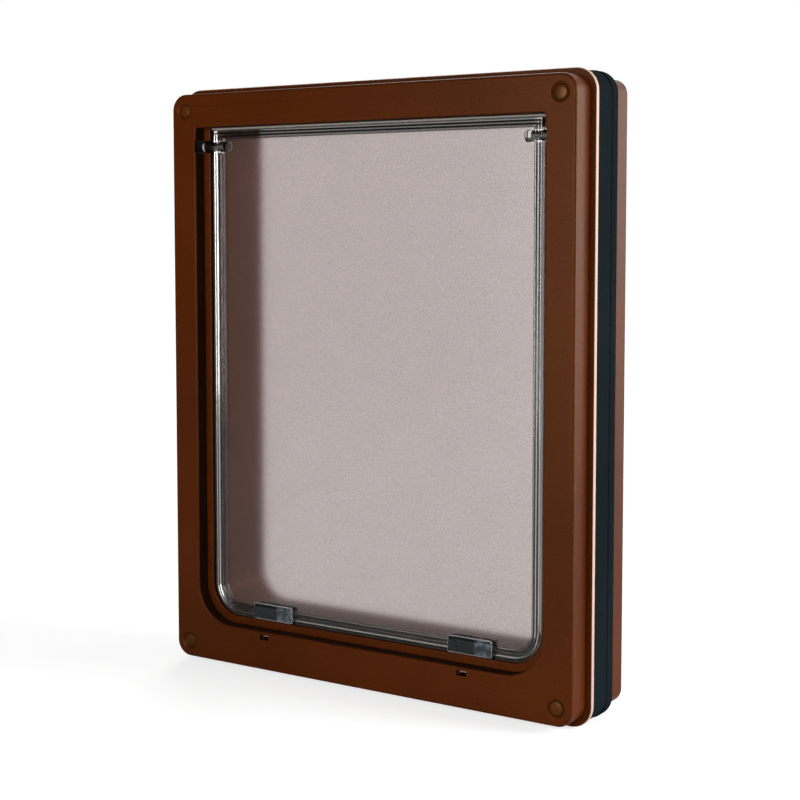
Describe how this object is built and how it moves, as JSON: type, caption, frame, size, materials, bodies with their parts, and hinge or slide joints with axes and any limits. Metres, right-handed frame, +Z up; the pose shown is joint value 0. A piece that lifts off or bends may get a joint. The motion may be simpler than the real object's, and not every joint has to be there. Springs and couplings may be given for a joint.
{
  "type": "dog door",
  "caption": "Framed dog door with a clear top-hung flap that swings both ways, magnet closers, a brush seal and a rounded lower opening.",
  "frame": {"origin": "on the ground under the middle of the closed door, which stands on the flange of the front frame and the rim of the spacer ring", "axes": "+Z up, +X to the right seen from the front, +Y from the front face into the depth"},
  "size_m": [0.371, 0.08, 0.465],
  "materials": {
    "brown_plastic": "finely textured matte brown",
    "dark_plastic": "matte near black",
    "clear_plastic": "clear with a faint grain",
    "smoke_plastic": "clear smoke tint",
    "black_plastic": "smooth black",
    "steel": "bright steel",
    "magnet": "dark ferrite",
    "brush_pile": "short stiff dark pile",
    "felt": "pale felt"
  },
  "bodies": {
    "frame": {"front_frame": "brown_plastic", "spacer_ring": "dark_plastic", "rear_frame": "brown_plastic", "pivot_socket_left": "black_plastic", "pivot_socket_right": "black_plastic", "hinge_pin_left": "steel", "hinge_pin_right": "steel", "sill_keeper_left": "steel", "sill_keeper_right": "steel", "brush_strip_left": "brush_pile", "brush_strip_middle": "brush_pile", "brush_strip_right": "brush_pile", "top_seal": "felt", "clamp_screws": "steel", "screw_caps": "brown_plastic"},
    "flap": {"flap_panel": "clear_plastic", "flap_sleeve_left": "black_plastic", "flap_sleeve_right": "black_plastic", "closer_housing_left": "smoke_plastic", "closer_housing_right": "smoke_plastic", "closer_magnet_left": "magnet", "closer_magnet_right": "magnet", "closer_cover_left": "smoke_plastic", "closer_cover_right": "smoke_plastic"}
  },
  "joints": [
    {"name": "flap_hinge", "type": "hinge", "parent": "frame", "child": "flap", "pos_m": [0, -0.0239, 0.4185], "axis": [1, 0, 0], "range_deg": [-85, 85]}
  ]
}
